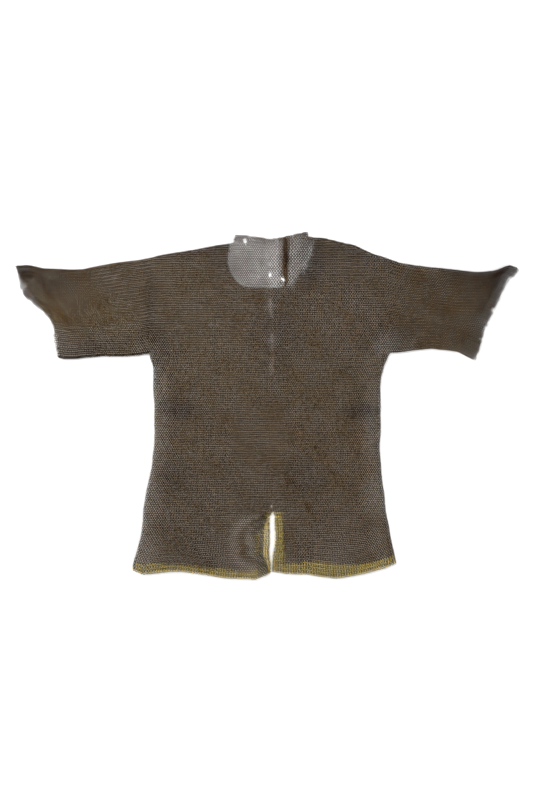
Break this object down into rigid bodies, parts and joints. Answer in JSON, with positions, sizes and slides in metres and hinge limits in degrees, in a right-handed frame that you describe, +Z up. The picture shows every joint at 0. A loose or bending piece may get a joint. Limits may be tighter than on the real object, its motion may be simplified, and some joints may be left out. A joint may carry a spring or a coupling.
{
  "type": "chainmail hauberk",
  "caption": "Short-sleeved mail shirt of linked iron rings with a scooped neck, front slit, brass hem and brass-edged lower vent, laid flat with its front up.",
  "frame": {"origin": "on the surface the garment lies on, under the middle of its outline", "axes": "+Z up off the surface, +Y from the hem to the neck, +X to the right of someone who looks down on the front of the garment, so towards the wearer's left sleeve"},
  "size_m": [1.158, 0.8009, 0.0119],
  "materials": {
    "iron_rings": "dark brown patina on bare iron, worn brighter on the ring crowns",
    "brass_rings": "dull olive-yellow brass, darkened in the hollows"
  },
  "bodies": {
    "root": {"body_front": "iron_rings", "body_back": "iron_rings", "sleeve_left": "iron_rings", "sleeve_right": "iron_rings", "hem_front_left": "brass_rings", "hem_front_right": "brass_rings", "hem_back_left": "brass_rings", "hem_back_right": "brass_rings", "vent_front_left": "brass_rings", "vent_front_right": "brass_rings", "vent_back_left": "brass_rings", "vent_back_right": "brass_rings"}
  },
  "joints": []
}
